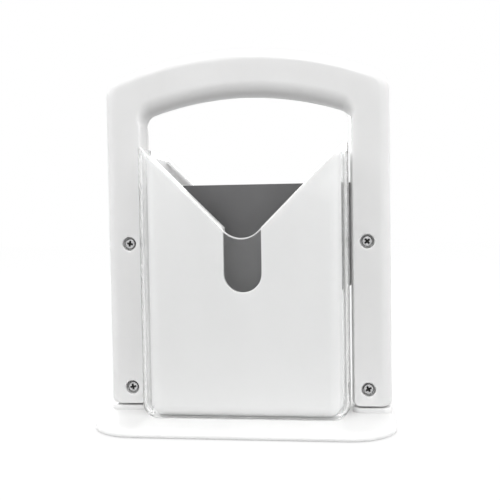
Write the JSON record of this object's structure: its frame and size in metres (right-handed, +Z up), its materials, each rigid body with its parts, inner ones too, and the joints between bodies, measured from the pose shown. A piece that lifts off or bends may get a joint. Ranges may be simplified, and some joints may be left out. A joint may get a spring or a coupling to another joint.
{
  "type": "bagel guillotine slicer",
  "caption": "Upright bagel slicer: a white holder with a V notch on a flat base, and an arched handle with a wide dark blade and clear shields that slides down over it.",
  "frame": {"origin": "on the surface that the feet stand on, under the middle of the base", "axes": "+Z up, +X along the blade to the right as seen from the front, -Y towards the front"},
  "size_m": [0.19, 0.13, 0.2418],
  "materials": {
    "white_plastic": "smooth moulded plastic, softly glossy",
    "clear_plastic": "clear polished plastic",
    "coated_steel": "dark grey non-stick coating, satin",
    "screw_steel": "plated steel",
    "foot_rubber": "soft matt rubber"
  },
  "bodies": {
    "base": {"base_plate": "white_plastic", "front_holder_wall": "white_plastic", "rear_holder_wall": "white_plastic", "foot_front_left": "foot_rubber", "foot_front_right": "foot_rubber", "foot_rear_left": "foot_rubber", "foot_rear_right": "foot_rubber", "holder_screw_front_left": "screw_steel", "holder_screw_front_right": "screw_steel", "holder_screw_rear_left": "screw_steel", "holder_screw_rear_right": "screw_steel"},
    "handle": {"front_handle_shell": "white_plastic", "rear_handle_shell": "white_plastic", "front_shield": "clear_plastic", "rear_shield": "clear_plastic", "blade": "coated_steel", "handle_screw_upper_left": "screw_steel", "handle_screw_upper_right": "screw_steel", "handle_screw_lower_left": "screw_steel", "handle_screw_lower_right": "screw_steel"}
  },
  "joints": [
    {"name": "handle_lift", "type": "slide", "parent": "base", "child": "handle", "axis": [0, 0, 1], "range_m": [0, 0.18]}
  ]
}
